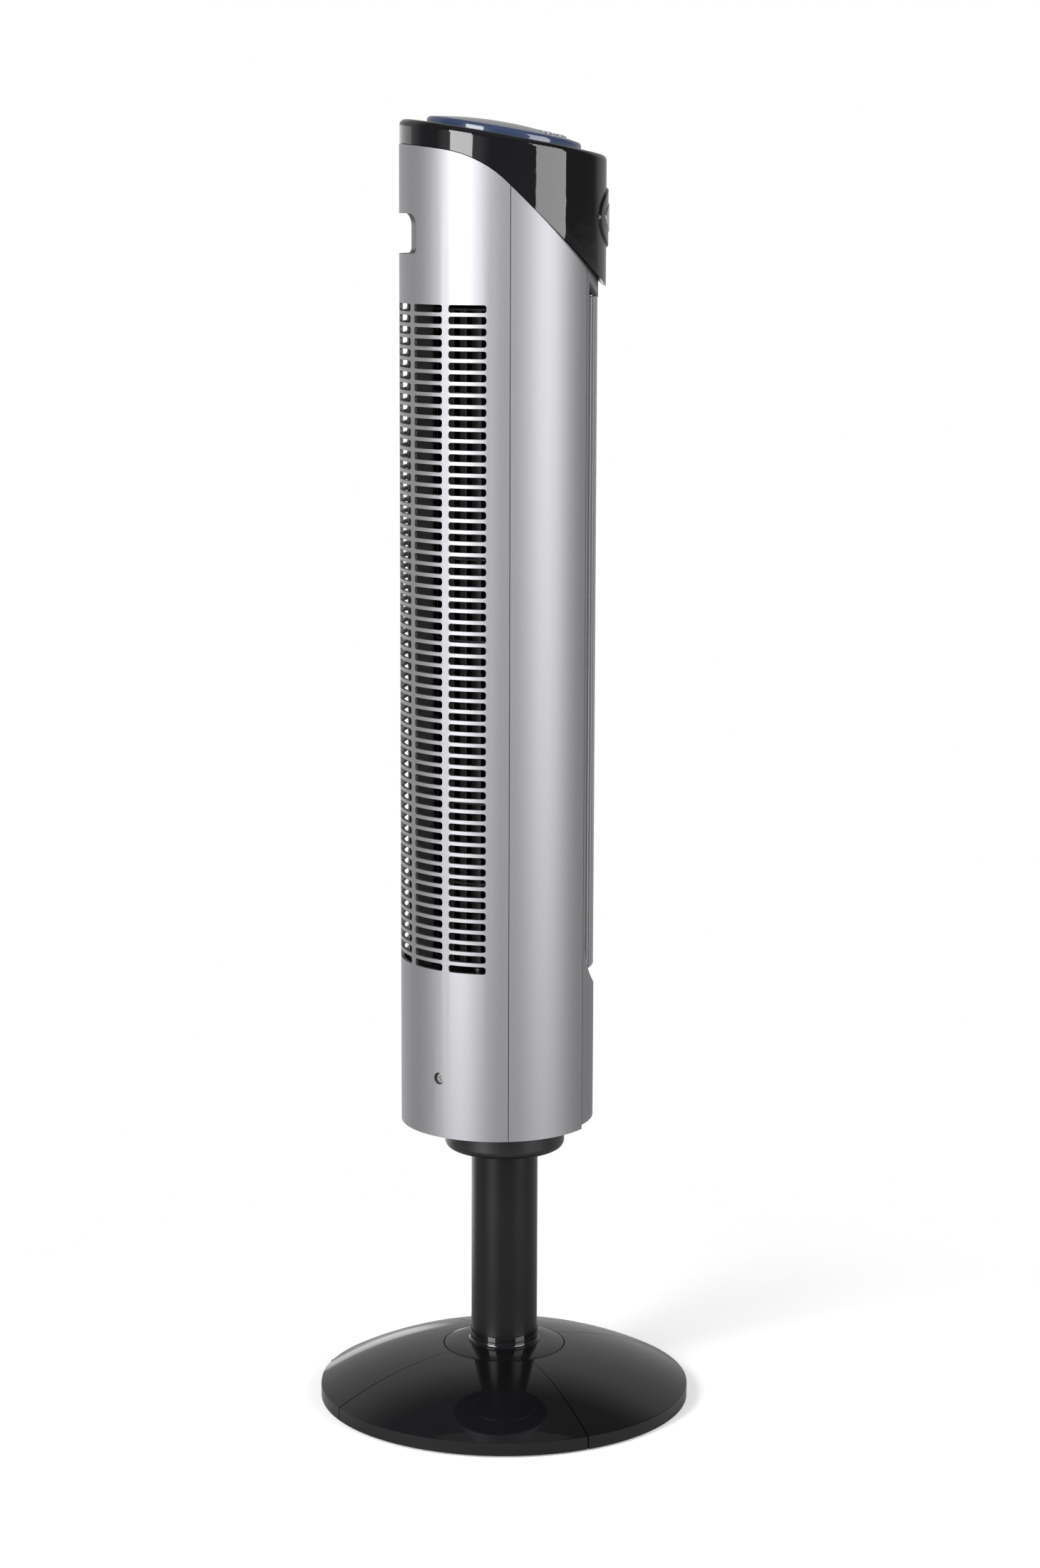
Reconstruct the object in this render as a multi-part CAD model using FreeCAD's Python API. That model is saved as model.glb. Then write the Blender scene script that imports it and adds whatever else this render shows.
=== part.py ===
import FreeCAD, Part
import math
import os

from FreeCAD import Vector

# A tower fan on a round base. Millimetres, +Z up, the front faces -Y.
# The origin is under the pole, on the surface that the feet stand on.
# An azimuth is counted from the front (-Y) towards +X, in degrees.
# Depths called "forward" are counted from the body's axis towards the front.

# Fits and gaps
SEAM = 0.6
GAP = 0.3
RUNNING = 0.06

# Base
BASE_RADIUS = 155.2
BASE_CLEARANCE = 2.0
BASE_RIM_TOP = 12.6
BASE_WALL = 2.6
BASE_SEAM = 1.2
DISC_GAP = 0.9
SEAM_AZIMUTHS = (24.0, 112.0, 204.0, 292.0)
DISC_RADIUS = 50.6
DISC_EDGE_HEIGHT = 45.2
DISC_TOP_HEIGHT = 48.4
DOME_MID_RADIUS = 100.0
DOME_MID_HEIGHT = 35.4
FOOT_COUNT = 6
FOOT_RADIUS = 11.0
FOOT_CIRCLE = 136.0
BALLAST_RADIUS = 146.0
BALLAST_TOP = 10.0
PLATE_THICKNESS = 2.0
FOOT_RING_WALL = 0.7
FOOT_RING_FLARE = 1.8
FOOT_RING_HEIGHT = 10.0
BASE_SCREW_COUNT = 8
BASE_SCREW_LENGTH = 6.5
BASE_SCREW_CIRCLE = 118.0
GLAND_AZIMUTH = 158.0
GLAND_HEIGHT = 7.8
GLAND_RADIUS = 3.6

# Pole and swivel
POLE_RADIUS = 27.8
POLE_WALL = 2.0
POLE_TOP = 226.0
POLE_FLANGE_RADIUS = 45.0
POLE_BOLT_CIRCLE = 37.0
POLE_BOLT_LENGTH = 8.0
COLLAR_RADIUS = 50.0
COLLAR_BOTTOM = 218.0
COLLAR_ROUND = 6.0
SPINDLE_RADIUS = 22.0
SPINDLE_TOP = 264.0
SPINDLE_BORE = 9.0
THRUST_RADIUS = 38.0
THRUST_BOTTOM = 232.1
THRUST_TOP = 234.1

# Swing drive: a fixed gear on the spindle and a pinion that walks round it
GEAR_MODULE = 1.5
GEAR_TEETH = 48
PINION_TEETH = 12
PRESSURE_ANGLE = 25.0
GEAR_BOTTOM = 250.0
GEAR_HEIGHT = 6.0
SWING_MOTOR_RADIUS = 24.0
SWING_MOTOR_HEIGHT = 20.0
SWING_PLATE_BOTTOM = 266.0

# Body
BODY_RADIUS = 80.1
BODY_WALL = 2.6
BODY_SET_BACK = 6.4
BODY_BOTTOM = 242.7
BODY_SEAM_AZIMUTH = 87.4
FLOOR_BOTTOM = 244.0
FLOOR_TOP = 247.0
PANEL_AZIMUTH = 33.0
PANEL_LIFT = 3.5
PANEL_TUCK = 8.0
PANEL_STANDOFF = 0.35
WEB_THICKNESS = 2.4

# Rear grille
SLOT_ROWS = 60
SLOT_PITCH = 9.0
SLOT_TOP_ROW = 916.5
SLOT_HEIGHT = 6.1
SLOT_ROUND = 2.2
SLOT_COLUMNS = 6
SLOT_COLUMN_STEP = 27.1
SLOT_COLUMN_WIDTH = 22.9

# Handle opening
HANDLE_HALF_WIDTH = 41.7
HANDLE_BOTTOM = 958.7
HANDLE_TOP = 990.4
HANDLE_ROUND_TOP = 10.0
HANDLE_ROUND_BOTTOM = 4.5
HANDLE_DEPTH = 42.0
HANDLE_WALL = 2.0

# Shell screws in recessed holes
SHELL_SCREW_AZIMUTH = 130.6
SHELL_SCREW_HEIGHT = 292.0
SHELL_SCREW_HOLE = 5.0
SHELL_SCREW_FLOOR = 75.0
SHELL_SCREW_CUP = 1.8
SCREW_POST_SIZE = 12.0

# Air outlet
OUTLET_HALF_WIDTH = 40.0
OUTLET_SHOULDER = 404.0
OUTLET_BOTTOM = 358.0
OUTLET_TOP_CORNER = 938.0
OUTLET_TOP_MIDDLE = 924.0
LOUVRE_COUNT = 11
LOUVRE_STEP = 5.2
LOUVRE_THICKNESS = 1.4
LOUVRE_INNER = 69.0
LOUVRE_OUTER = 79.6
LOUVRE_BARS = 9
OUTLET_LIP = 1.6

# Air path and drive
BULKHEAD_RADIUS = 77.0
LOWER_BULKHEAD = 372.0
UPPER_BULKHEAD = 926.0
BULKHEAD_THICKNESS = 3.0
IMPELLER_RADIUS = 52.0
IMPELLER_INNER = 41.0
IMPELLER_BOTTOM = 384.0
IMPELLER_TOP = 916.0
IMPELLER_BLADES = 26
IMPELLER_SEGMENTS = 8
RING_THICKNESS = 1.6
SHAFT_RADIUS = 4.0
DUCT_WALL = 2.0
SCROLL_LIP = 3.0
WIRING_HALF_WIDTH = 9.0
WIRING_INNER = 54.2
WIRING_OUTER = 73.4
WIRING_WALL = 1.6
WIRING_HOLE = 11.0
MOTOR_RADIUS = 42.0
MOTOR_BOTTOM = 304.0
MOTOR_TOP = 362.0
MOTOR_WALL = 2.0
ROTOR_RADIUS = 24.0
MOUNT_CIRCLE = 34.0

# Top cap
CAP_NOSE = 86.4
CAP_WALL = 2.5
CAP_MID_HEIGHT = 1051.3
CAP_TILT = 9.93
CAP_ROUND = 5.0
SWOOP_REAR_HEIGHT = 1045.4
SWOOP_REAR_SLOPE = 9.0
SWOOP_BEND_START = -50.0
SWOOP_RADIUS = 95.0
SWOOP_FRONT_SLOPE = 44.0

# Top dome, display and buttons
LENS_RADIUS = 62.8
LENS_ROUND = 3.4
LENS_FORWARD = 3.5
LENS_CROWN = 11.7
LENS_SPHERE = 320.0
LENS_WALL = 2.4
FACE_RADIUS = 55.0
BUTTON_NAMES = ("power", "speed", "swing", "timer", "mode")
BUTTON_STEP = 24.0
BUTTON_CIRCLE = 45.0
BUTTON_RADIUS = 5.0
BUTTON_TRAVEL = 1.0
BOARD_TOP = -14.0

# Plain oval badge on the nose
BADGE_HEIGHT = 987.4
BADGE_HALF_WIDTH = 37.0
BADGE_HALF_HEIGHT = 24.0
BADGE_RING_WIDTH = 12.5
BADGE_RING_PROUD = 1.7
BADGE_PLATE_PROUD = 2.3

UP = Vector(0, 0, 1)
ORIGIN = Vector(0, 0, 0)
BODY_AXIS = Vector(0, BODY_SET_BACK, 0)
TALL = 1200.0
WIDE = 400.0


def polar(radius, azimuth, z, centre=ORIGIN):
    """The point at a radius and azimuth about a vertical axis."""
    turn = math.radians(azimuth)
    return Vector(centre.x + radius * math.sin(turn), centre.y - radius * math.cos(turn), z)


def face_of(edges):
    return Part.Face(Part.Wire(edges))


def arc(first, middle, last):
    return Part.Arc(first, middle, last).toShape()


def line(first, last):
    return Part.makeLine(first, last)


def disc(radius, bottom, top, centre=ORIGIN):
    """An upright cylinder between two heights."""
    return Part.makeCylinder(radius, top - bottom, Vector(centre.x, centre.y, bottom), UP)


def tube(inner, outer, bottom, top, centre=ORIGIN):
    return disc(outer, bottom, top, centre).cut(disc(inner, bottom - 1, top + 1, centre))


def sector(inner, outer, bottom, top, start, end, centre=ORIGIN):
    """Part of an upright tube, between two azimuths."""
    middle = (start + end) / 2
    edges = [
        arc(*(polar(outer, a, bottom, centre) for a in (start, middle, end))),
        line(polar(outer, end, bottom, centre), polar(inner, end, bottom, centre)),
        arc(*(polar(inner, a, bottom, centre) for a in (end, middle, start))),
        line(polar(inner, start, bottom, centre), polar(outer, start, bottom, centre)),
    ]
    return face_of(edges).extrude(Vector(0, 0, top - bottom))


def turned(edges, start=0.0, sweep=360.0):
    """A turned solid from a closed profile drawn at azimuth 90, in X and Z."""
    solid = face_of(edges).revolve(ORIGIN, UP, sweep)
    solid.rotate(ORIGIN, UP, start - 90.0)
    return solid


def centred(shape, centre):
    shape.translate(centre)
    return shape


def rounded_window(half_width, bottom, top, round_top, round_bottom, front, back):
    """A block with a rounded outline in X and Z, from one Y to another."""
    def corner(x_side, z_side, radius):
        x = x_side * (half_width - radius)
        z = top - radius if z_side > 0 else bottom + radius
        return Vector(x, front, z)

    def quarter(centre, radius, start):
        turns = (math.radians(start + step) for step in (0, 45, 90))
        return arc(*(centre + Vector(radius * math.cos(t), 0, radius * math.sin(t)) for t in turns))

    quarters = [
        quarter(corner(1, 1, round_top), round_top, 0),
        quarter(corner(-1, 1, round_top), round_top, 90),
        quarter(corner(-1, -1, round_bottom), round_bottom, 180),
        quarter(corner(1, -1, round_bottom), round_bottom, 270),
    ]
    edges = []
    for this, following in zip(quarters, quarters[1:] + quarters[:1]):
        edges.append(this)
        edges.append(line(this.lastVertex().Point, following.firstVertex().Point))
    return face_of(edges).extrude(Vector(0, back - front, 0))


def screw(head_radius, head_height, shank_radius, shank_length):
    """A pan-head screw along +Z, its head's top at the origin and a cross recess in it."""
    head = Part.makeCylinder(head_radius, head_height, Vector(0, 0, -head_height), UP)
    shank = Part.makeCylinder(shank_radius, shank_length, Vector(0, 0, -head_height - shank_length), UP)
    arm = head_radius * 1.2
    slot = head_radius * 0.22
    depth = head_height * 0.5
    solid = head.fuse(shank)
    for size in ((arm, slot), (slot, arm)):
        corner = Vector(-size[0] / 2, -size[1] / 2, -depth)
        solid = solid.cut(Part.makeBox(size[0], size[1], head_height, corner))
    return solid.removeSplitter()


def group(shapes):
    return Part.makeCompound(shapes)


def save(name, shape):
    shape.exportStep(os.path.join("parts", name + ".step"))


# ---------------------------------------------------------------- base

def dome_arc(inner_radius, drop, inset):
    """The base's domed top line, from its edge in to a radius, lowered by a drop."""
    edge = Vector(BASE_RADIUS - 0.6 - inset, 0, BASE_RIM_TOP + 0.5 - drop)
    middle = Vector(DOME_MID_RADIUS, 0, DOME_MID_HEIGHT - drop)
    inner = Vector(inner_radius, 0, DISC_EDGE_HEIGHT - drop)
    return arc(edge, middle, inner)


def base_sector(start, end):
    """One quarter of the domed base cover, open underneath, with its own rim."""
    inner = DISC_RADIUS + DISC_GAP
    outside = dome_arc(inner, 0, 0)
    inside = dome_arc(inner, BASE_WALL, BASE_WALL)
    rim_inner = BASE_RADIUS - 0.6 - BASE_WALL
    corners = [
        inside.firstVertex().Point,
        Vector(rim_inner, 0, BASE_CLEARANCE),
        Vector(BASE_RADIUS, 0, BASE_CLEARANCE),
        Vector(BASE_RADIUS, 0, BASE_RIM_TOP),
        outside.firstVertex().Point,
    ]
    edges = [line(a, b) for a, b in zip(corners, corners[1:])]
    edges += [outside, line(outside.lastVertex().Point, inside.lastVertex().Point), inside]
    margin = math.degrees(BASE_SEAM / 2 / BASE_RADIUS)
    return turned(edges, start + margin, end - start - 2 * margin)


def gland_hole():
    """The cord's hole through the base's rim, at the back."""
    inward = polar(1, GLAND_AZIMUTH, 0)
    return Part.makeCylinder(GLAND_RADIUS, 16, polar(BASE_RADIUS - 10, GLAND_AZIMUTH, GLAND_HEIGHT), inward)


def base_sectors():
    ends = SEAM_AZIMUTHS[1:] + (SEAM_AZIMUTHS[0] + 360.0,)
    for number, (start, end) in enumerate(zip(SEAM_AZIMUTHS, ends), 1):
        solid = base_sector(start, end)
        if start < GLAND_AZIMUTH < end:
            solid = solid.cut(gland_hole())
        save("base_quarter_%d" % number, solid)


def base_disc():
    """The centre disc, which the pole comes up through."""
    inner = POLE_RADIUS + GAP
    slope = arc(
        Vector(DISC_RADIUS, 0, DISC_EDGE_HEIGHT + 0.1),
        Vector((DISC_RADIUS + inner) / 2, 0, DISC_TOP_HEIGHT - 0.9),
        Vector(inner, 0, DISC_TOP_HEIGHT),
    )
    edges = [
        slope,
        line(slope.lastVertex().Point, Vector(inner, 0, DISC_TOP_HEIGHT - 4)),
        line(Vector(inner, 0, DISC_TOP_HEIGHT - 4), Vector(DISC_RADIUS, 0, DISC_EDGE_HEIGHT - 4)),
        line(Vector(DISC_RADIUS, 0, DISC_EDGE_HEIGHT - 4), slope.firstVertex().Point),
    ]
    return turned(edges)


def foot_ring():
    """A thin glossy sleeve round the pole's foot, flared where it meets the disc."""
    inner = POLE_RADIUS + RUNNING
    outer = inner + FOOT_RING_WALL
    flared = outer + FOOT_RING_FLARE
    bottom = DISC_TOP_HEIGHT + 0.05
    top = bottom + FOOT_RING_HEIGHT
    neck = bottom + FOOT_RING_FLARE * 1.6
    bend = FOOT_RING_FLARE * 0.35
    flare = arc(Vector(flared, 0, bottom + 0.4), Vector(outer + bend, 0, bottom + bend + 0.6), Vector(outer, 0, neck))
    corners = [
        Vector(outer, 0, neck),
        Vector(outer, 0, top),
        Vector(inner, 0, top),
        Vector(inner, 0, bottom),
        Vector(flared, 0, bottom),
        Vector(flared, 0, bottom + 0.4),
    ]
    return turned([flare] + [line(a, b) for a, b in zip(corners, corners[1:])])


def around(count, radius, z, offset=0.0):
    return [polar(radius, offset + 360.0 * k / count, z) for k in range(count)]


def bottom_plate():
    bottom = BASE_CLEARANCE
    plate = disc(BASE_RADIUS - 4.0, bottom, bottom + PLATE_THICKNESS)
    for spot in around(BASE_SCREW_COUNT, BASE_SCREW_CIRCLE, 0):
        plate = plate.cut(disc(2.1, 0, 10, spot))
    return plate


def ballast():
    """The steel plate that keeps the tall body standing, with a socket for the pole."""
    bottom = BASE_CLEARANCE + PLATE_THICKNESS + 0.1
    plate = disc(BALLAST_RADIUS, bottom, BALLAST_TOP)
    plate = plate.cut(disc(SPINDLE_BORE, 0, 20))
    for spot in around(BASE_SCREW_COUNT, BASE_SCREW_CIRCLE, 0):
        plate = plate.cut(disc(2.1, 0, BALLAST_TOP - 1, spot))
    for spot in around(4, POLE_BOLT_CIRCLE, 0, 45):
        plate = plate.cut(disc(2.1, 5, 20, spot))
    return plate


def feet():
    return group([disc(FOOT_RADIUS, 0, BASE_CLEARANCE, spot) for spot in around(FOOT_COUNT, FOOT_CIRCLE, 0, 30)])


def base_screws():
    """Screws up through the bottom plate into the ballast."""
    screws = []
    for spot in around(BASE_SCREW_COUNT, BASE_SCREW_CIRCLE, BASE_CLEARANCE - 1.2):
        solid = screw(3.6, 1.2, 2.0, BASE_SCREW_LENGTH)
        solid.rotate(ORIGIN, Vector(1, 0, 0), 180)
        screws.append(centred(solid, spot))
    return group(screws)


def cord_gland():
    """The flanged bush that the supply cord passes through."""
    outward = polar(1, GLAND_AZIMUTH, 0)
    seat = polar(BASE_RADIUS - 8, GLAND_AZIMUTH, GLAND_HEIGHT)
    lip = polar(BASE_RADIUS, GLAND_AZIMUTH, GLAND_HEIGHT)
    bush = Part.makeCylinder(GLAND_RADIUS - 0.1, 8.6, seat, outward)
    flange = Part.makeCylinder(GLAND_RADIUS + 1.0, 1.0, lip, outward)
    bore = Part.makeCylinder(GLAND_RADIUS - 1.5, 20, seat - outward * 2, outward)
    keep = tube(BASE_RADIUS + 0.05, WIDE, -10, 40)
    return bush.fuse(flange.common(keep)).cut(bore).removeSplitter()


# ---------------------------------------------------------------- pole and swivel

def pole():
    """The steel tube, with a flange at its foot that bolts to the ballast."""
    foot = BALLAST_TOP + 0.1
    solid = disc(POLE_RADIUS, foot, POLE_TOP).fuse(disc(POLE_FLANGE_RADIUS, foot, foot + 3.0))
    solid = solid.cut(disc(POLE_RADIUS - POLE_WALL, foot - 1, POLE_TOP + 1))
    for spot in around(4, POLE_BOLT_CIRCLE, 0, 45):
        solid = solid.cut(disc(2.1, foot - 1, foot + 4, spot))
    return solid


def pole_bolts():
    return group([centred(screw(3.8, 3.0, 2.0, POLE_BOLT_LENGTH), spot)
                  for spot in around(4, POLE_BOLT_CIRCLE, BALLAST_TOP + 6.2, 45)])


def spindle():
    """The fixed hub in the pole's top, which the tower turns on."""
    plug = POLE_RADIUS - POLE_WALL - 0.1
    solid = disc(plug, POLE_TOP - 24, POLE_TOP + 0.1)
    solid = solid.fuse(disc(THRUST_RADIUS, POLE_TOP + 0.1, THRUST_BOTTOM - 0.1))
    solid = solid.fuse(disc(SPINDLE_RADIUS, THRUST_BOTTOM - 0.2, SPINDLE_TOP))
    return solid.cut(disc(SPINDLE_BORE, POLE_TOP - 30, SPINDLE_TOP + 5)).removeSplitter()


def collar():
    """The black cup under the body that hides the bearing and turns with the tower."""
    inner = POLE_RADIUS + 0.9
    top = FLOOR_BOTTOM - 0.1
    corner = Vector(COLLAR_RADIUS - COLLAR_ROUND, 0, COLLAR_BOTTOM + COLLAR_ROUND)
    turn = COLLAR_ROUND * math.sqrt(0.5)
    bend = arc(
        Vector(corner.x, 0, COLLAR_BOTTOM),
        Vector(corner.x + turn, 0, corner.z - turn),
        Vector(COLLAR_RADIUS, 0, corner.z),
    )
    wall = 2.5
    inside = [
        Vector(COLLAR_RADIUS, 0, top),
        Vector(COLLAR_RADIUS - wall, 0, top),
        Vector(COLLAR_RADIUS - wall, 0, corner.z),
        Vector(corner.x, 0, COLLAR_BOTTOM + wall),
        Vector(inner, 0, COLLAR_BOTTOM + wall),
        Vector(inner, 0, COLLAR_BOTTOM),
        Vector(corner.x, 0, COLLAR_BOTTOM),
    ]
    edges = [bend, line(bend.lastVertex().Point, inside[0])]
    edges += [line(a, b) for a, b in zip(inside, inside[1:])]
    return turned(edges)


def screw_posts():
    """Two posts on the tower floor that the rear shell screws into."""
    posts = []
    for side in (-1, 1):
        azimuth = side * SHELL_SCREW_AZIMUTH
        half = SCREW_POST_SIZE / 2
        height = SHELL_SCREW_HEIGHT + 7 - FLOOR_TOP + 1
        post = Part.makeBox(SCREW_POST_SIZE, SCREW_POST_SIZE, height, Vector(-half, -half, FLOOR_TOP - 1))
        post.rotate(ORIGIN, UP, azimuth)
        post.translate(polar(SHELL_SCREW_FLOOR - SHELL_SCREW_CUP - 1 - half, azimuth, 0, BODY_AXIS))
        start = polar(SHELL_SCREW_FLOOR, azimuth, SHELL_SCREW_HEIGHT, BODY_AXIS)
        hole = Part.makeCylinder(1.9, 40, start, polar(-1, azimuth, 0))
        posts.append(post.cut(hole))
    return posts


def tower_floor():
    """The body's floor, with its bearing ring and the posts for the shell screws."""
    solid = disc(BULKHEAD_RADIUS, FLOOR_BOTTOM, FLOOR_TOP, BODY_AXIS)
    solid = solid.fuse(disc(THRUST_RADIUS, THRUST_TOP + 0.1, FLOOR_BOTTOM + 1))
    solid = solid.cut(disc(SPINDLE_RADIUS + RUNNING, 200, 300))
    for post in screw_posts():
        solid = solid.fuse(post)
    return solid.removeSplitter()


def involute(base_radius, radius, mirror, shift):
    """A point on a tooth's flank, as a polar angle about the gear's own axis."""
    roll = math.sqrt(max((radius / base_radius) ** 2 - 1, 0.0))
    angle = shift - mirror * (roll - math.atan(roll))
    return Vector(radius * math.cos(angle), radius * math.sin(angle), 0)


def on_root(point, root):
    """The point on the root circle, straight in from a flank's start."""
    return point * (root / point.Length)


def gear(teeth, bore, backlash):
    """A spur gear with involute flanks, a tooth centred on its own X axis."""
    pitch = GEAR_MODULE * teeth / 2
    base = pitch * math.cos(math.radians(PRESSURE_ANGLE))
    tip = pitch + 0.92 * GEAR_MODULE
    root = pitch - 1.2 * GEAR_MODULE
    flank_start = max(base, root)
    slope = math.tan(math.radians(PRESSURE_ANGLE)) - math.radians(PRESSURE_ANGLE)
    half_tooth = math.pi / teeth / 2 - backlash / pitch / 2 + slope
    steps = 5
    radii = [flank_start + (tip - flank_start) * k / steps for k in range(steps + 1)]
    points = []
    for tooth in range(teeth):
        centre = 2 * math.pi * tooth / teeth
        low = [involute(base, r, -1, centre - half_tooth) for r in radii]
        high = [involute(base, r, 1, centre + half_tooth) for r in reversed(radii)]
        points += [on_root(low[0], root)] + low + high + [on_root(high[-1], root)]
    outline = Part.makePolygon(points + points[:1])
    solid = Part.Face(outline).extrude(Vector(0, 0, GEAR_HEIGHT))
    return solid.cut(Part.makeCylinder(bore, GEAR_HEIGHT + 2, Vector(0, 0, -1), UP))


def swing_centre():
    return (GEAR_TEETH + PINION_TEETH) * GEAR_MODULE / 2


def fixed_gear():
    solid = gear(GEAR_TEETH, SPINDLE_RADIUS + 0.05, 0.16)
    solid.rotate(ORIGIN, UP, 90)
    solid.translate(Vector(0, 0, GEAR_BOTTOM))
    return solid


def drive_pinion():
    """The pinion, with half a tooth's turn so that a gap meets the fixed gear's tooth."""
    solid = gear(PINION_TEETH, 2.5, 0.16)
    solid.rotate(ORIGIN, UP, 270 + 180.0 / PINION_TEETH)
    shaft = Part.makeCylinder(2.5, 22, Vector(0, 0, -0.5), UP)
    solid = solid.fuse(shaft).removeSplitter()
    solid.translate(Vector(0, swing_centre(), GEAR_BOTTOM))
    return solid


def retaining_ring():
    bottom = GEAR_BOTTOM + GEAR_HEIGHT + 0.1
    return tube(SPINDLE_RADIUS + 0.05, 29.0, bottom, bottom + 5.0)


def swing_bracket():
    """The plate and four posts that carry the swing motor over the gears."""
    plate = Part.makeBox(66, 54, 2.4, Vector(-33, 22, SWING_PLATE_BOTTOM))
    plate = plate.common(disc(BULKHEAD_RADIUS - 2, 200, 300, BODY_AXIS))
    for x, y in ((31, 29), (-31, 29), (22, 68), (-22, 68)):
        plate = plate.fuse(disc(3.0, FLOOR_TOP + 0.05, SWING_PLATE_BOTTOM + 1, Vector(x, y, 0)))
    plate = plate.cut(disc(4.0, 260, 290, Vector(0, swing_centre(), 0)))
    for x in (-28.5, 28.5):
        plate = plate.cut(disc(1.6, 260, 290, Vector(x, swing_centre(), 0)))
    return plate.removeSplitter()


def swing_motor():
    """A flat synchronous motor with two ears and a bore for the pinion's shaft."""
    bottom = SWING_PLATE_BOTTOM + 2.5
    spot = Vector(0, swing_centre(), 0)
    solid = disc(SWING_MOTOR_RADIUS, bottom, bottom + SWING_MOTOR_HEIGHT, spot)
    ears = Part.makeBox(66, 10, 1.2, Vector(-33, swing_centre() - 5, bottom))
    solid = solid.fuse(ears).cut(disc(2.5 + RUNNING, 240, 274, spot))
    for x in (-28.5, 28.5):
        solid = solid.cut(disc(1.6, 260, 290, Vector(x, swing_centre(), 0)))
    return solid.removeSplitter()


def swing_screws():
    top = SWING_PLATE_BOTTOM + 2.5 + 1.2 + 2.1
    return group([centred(screw(3.0, 2.0, 1.5, 6.0), Vector(x, swing_centre(), top)) for x in (-28.5, 28.5)])


# ---------------------------------------------------------------- body shells

def swoop_points(lower):
    """The cap's lower edge in side view: (forward, height) at its bends."""
    rear = Vector(-120.0, 0, SWOOP_REAR_HEIGHT - lower)
    slope_rear = math.radians(SWOOP_REAR_SLOPE)
    slope_front = math.radians(SWOOP_FRONT_SLOPE)
    fall = (SWOOP_BEND_START + BODY_RADIUS) * math.tan(slope_rear)
    start = Vector(SWOOP_BEND_START, 0, SWOOP_REAR_HEIGHT - fall - lower)
    centre = start - Vector(math.sin(slope_rear), 0, math.cos(slope_rear)) * SWOOP_RADIUS
    middle_slope = (slope_rear + slope_front) / 2
    middle = centre + Vector(math.sin(middle_slope), 0, math.cos(middle_slope)) * SWOOP_RADIUS
    end = centre + Vector(math.sin(slope_front), 0, math.cos(slope_front)) * SWOOP_RADIUS
    tip = end + Vector(1, 0, -math.tan(slope_front)) * 130.0
    rear.z = start.z + (start.x - rear.x) * math.tan(slope_rear)
    return rear, start, middle, end, tip


def swoop_block(lower):
    """Everything above the cap's lower edge, lowered by an amount."""
    points = swoop_points(lower)
    rear, start, middle, end, tip = [Vector(-WIDE, BODY_SET_BACK - p.x, p.z) for p in points]
    high_front = Vector(tip.x, tip.y, TALL)
    high_rear = Vector(rear.x, rear.y, TALL)
    edges = [
        line(rear, start),
        arc(start, middle, end),
        line(end, tip),
        line(tip, high_front),
        line(high_front, high_rear),
        line(high_rear, rear),
    ]
    return face_of(edges).extrude(Vector(2 * WIDE, 0, 0))


def slot_block():
    """One grille slot, drawn about the body's axis at height zero, at azimuth 180."""
    half = BODY_RADIUS * math.sin(math.radians(SLOT_COLUMN_WIDTH / 2))
    return rounded_window(half, -SLOT_HEIGHT / 2, SLOT_HEIGHT / 2, SLOT_ROUND, SLOT_ROUND, 66.0, 90.0)


def grille_slots():
    """All the slots of the rear grille."""
    pattern = slot_block()
    slots = []
    for column in range(SLOT_COLUMNS):
        azimuth = (column - (SLOT_COLUMNS - 1) / 2) * SLOT_COLUMN_STEP
        for row in range(SLOT_ROWS):
            slot = pattern.copy()
            slot.translate(Vector(0, 0, SLOT_TOP_ROW - SLOT_PITCH * row))
            slot.rotate(ORIGIN, UP, azimuth)
            slots.append(centred(slot, BODY_AXIS))
    return slots


def handle_window(grow, front, back):
    return rounded_window(
        HANDLE_HALF_WIDTH + grow, HANDLE_BOTTOM - grow, HANDLE_TOP + grow,
        HANDLE_ROUND_TOP + grow, HANDLE_ROUND_BOTTOM + grow,
        BODY_SET_BACK + front, BODY_SET_BACK + back,
    )


def shell_screw_cup(azimuth):
    """The recessed cup that a shell screw's head sits in, and the hole to cut for it."""
    foot = polar(SHELL_SCREW_FLOOR, azimuth, SHELL_SCREW_HEIGHT, BODY_AXIS)
    outward = polar(1, azimuth, 0)
    length = BODY_RADIUS - 1.2 - SHELL_SCREW_FLOOR + SHELL_SCREW_CUP
    cup = Part.makeCylinder(SHELL_SCREW_HOLE + 1.6, length, foot - outward * SHELL_SCREW_CUP, outward)
    bore = Part.makeCylinder(SHELL_SCREW_HOLE, 30, foot, outward)
    shank = Part.makeCylinder(1.9, 10, foot - outward * 5, outward)
    return cup, bore.fuse(shank)


def seam_lip(side, near, outer):
    """A strip of the lip behind the side seam, out to a radius, from an azimuth back."""
    inner = BODY_RADIUS - BODY_WALL - 2.0
    start, end = sorted((side * near, side * (BODY_SEAM_AZIMUTH + 4)))
    return sector(inner, outer, BODY_BOTTOM + 6, 1005, start, end, BODY_AXIS)


def rear_shell():
    """The rear half of the body, with the grille, the handle opening and the screw cups."""
    inner = BODY_RADIUS - BODY_WALL
    edge = BODY_SEAM_AZIMUTH + math.degrees(SEAM / 2 / BODY_RADIUS)
    solid = sector(inner, BODY_RADIUS, BODY_BOTTOM, TALL - 100, edge, 360 - edge, BODY_AXIS)
    for side in (1, -1):
        solid = solid.fuse(seam_lip(side, BODY_SEAM_AZIMUTH - 3, inner - GAP))
        solid = solid.fuse(seam_lip(side, BODY_SEAM_AZIMUTH + 1.2, inner + 0.2))
    solid = solid.cut(swoop_block(SEAM))
    for side in (1, -1):
        cup, bore = shell_screw_cup(side * SHELL_SCREW_AZIMUTH)
        solid = solid.fuse(cup).cut(bore)
    solid = solid.cut(handle_window(0, 50, 100))
    return solid.removeSplitter().cut(grille_slots())


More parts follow.
